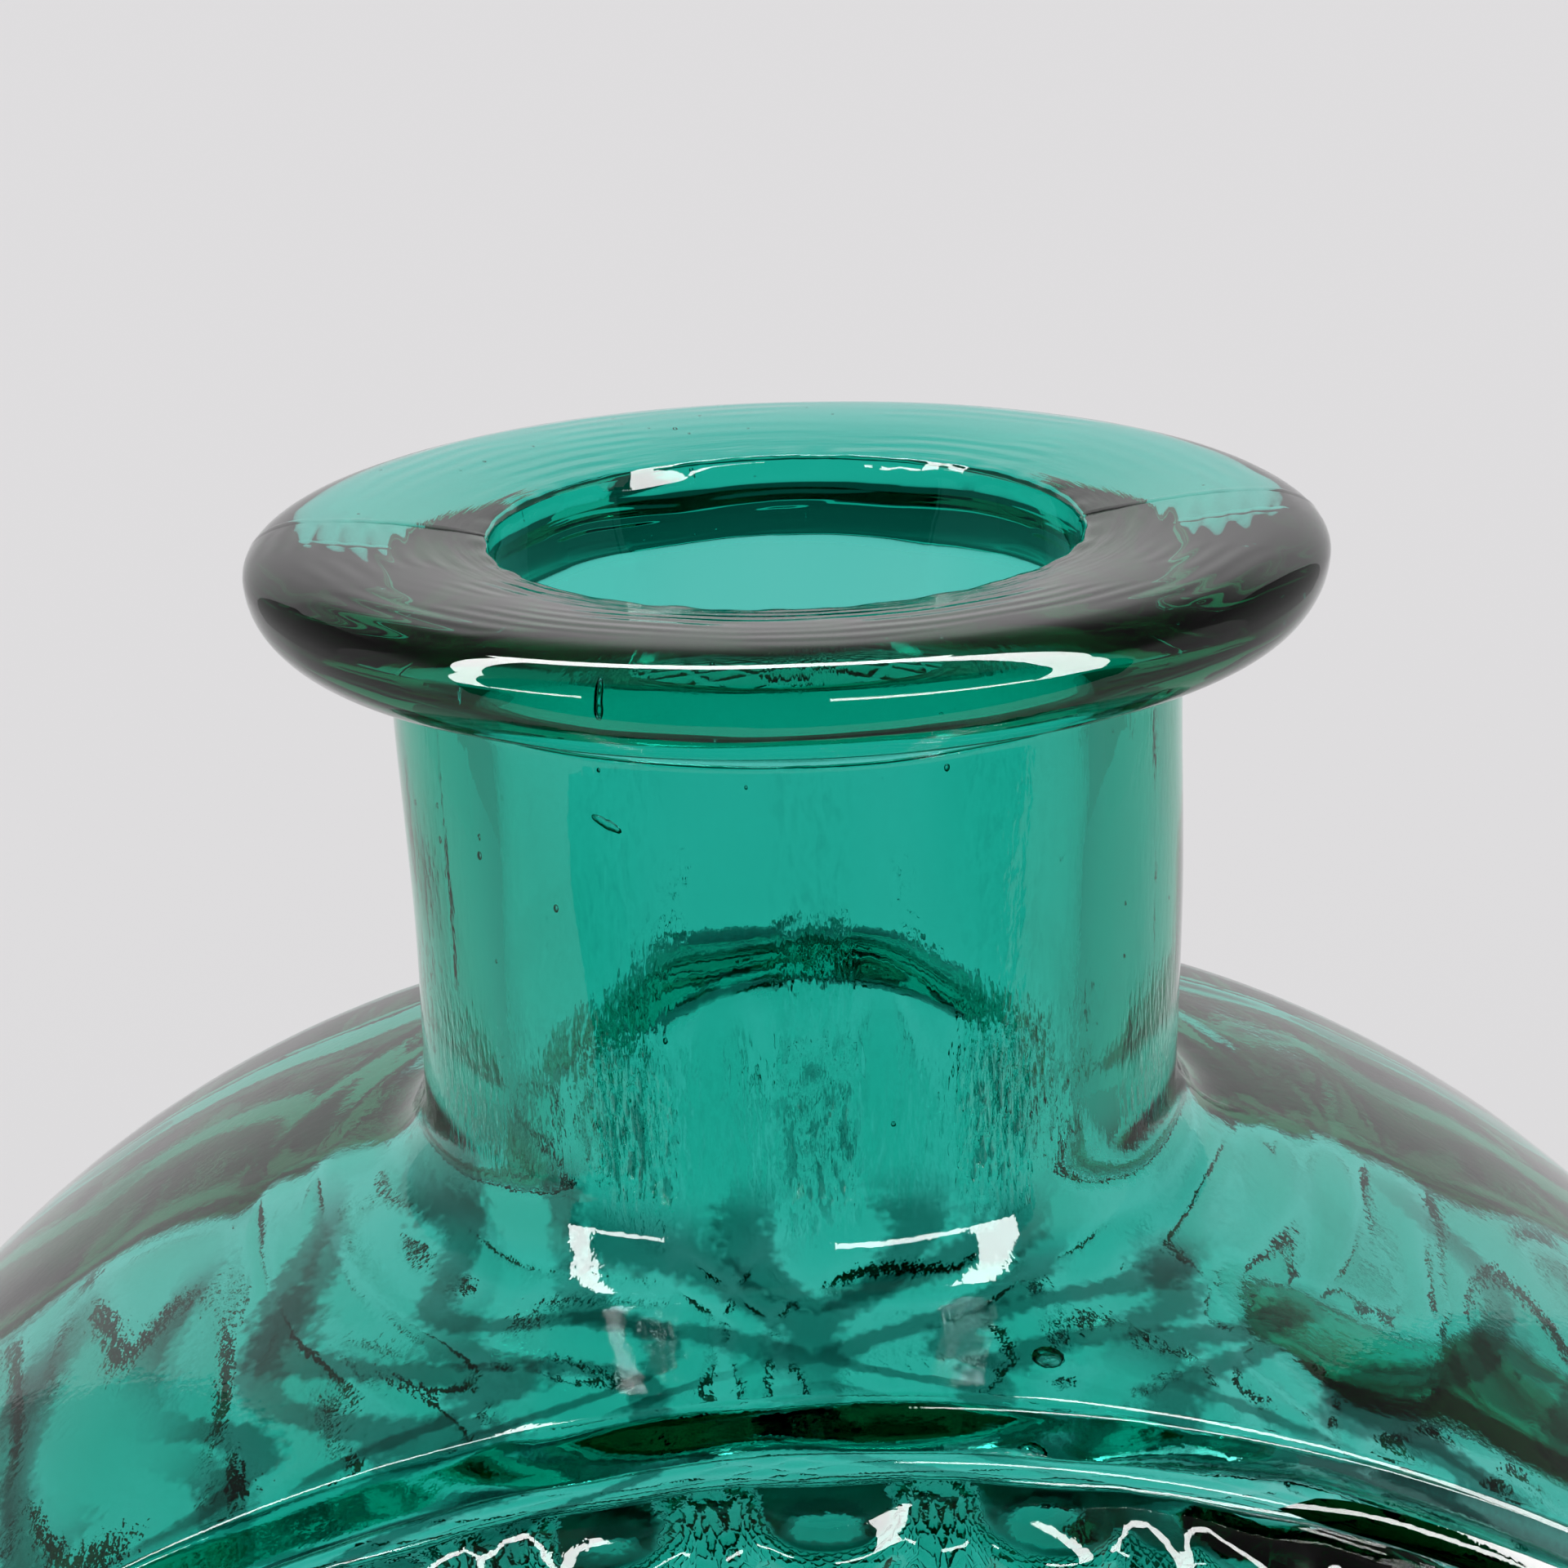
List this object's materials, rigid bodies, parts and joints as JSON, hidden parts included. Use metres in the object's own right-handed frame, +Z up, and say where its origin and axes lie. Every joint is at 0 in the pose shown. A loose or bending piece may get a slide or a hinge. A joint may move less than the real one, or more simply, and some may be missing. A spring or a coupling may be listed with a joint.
{
  "type": "flask-shaped glass bottle",
  "caption": "Round, flat, standing glass bottle with a short wide neck, a broad flanged lip and a diamond quilt in relief on both faces; it holds liquid or cut flowers.",
  "frame": {"origin": "centre of the foot, on the plane that the bottle stands on", "axes": "+Z up along the neck, -Y out of the front face, +X to the right seen from the front, in the mould's parting plane"},
  "size_m": [0.1428, 0.063, 0.1677],
  "materials": {
    "sea_green_glass": "clear polished, with fine mould ripples, pits and small bubbles"
  },
  "bodies": {
    "root": {"lip_flange": "sea_green_glass", "neck": "sea_green_glass", "front_half_shell": "sea_green_glass", "rear_half_shell": "sea_green_glass", "front_panel": "sea_green_glass", "rear_panel": "sea_green_glass", "base": "sea_green_glass"}
  },
  "joints": []
}
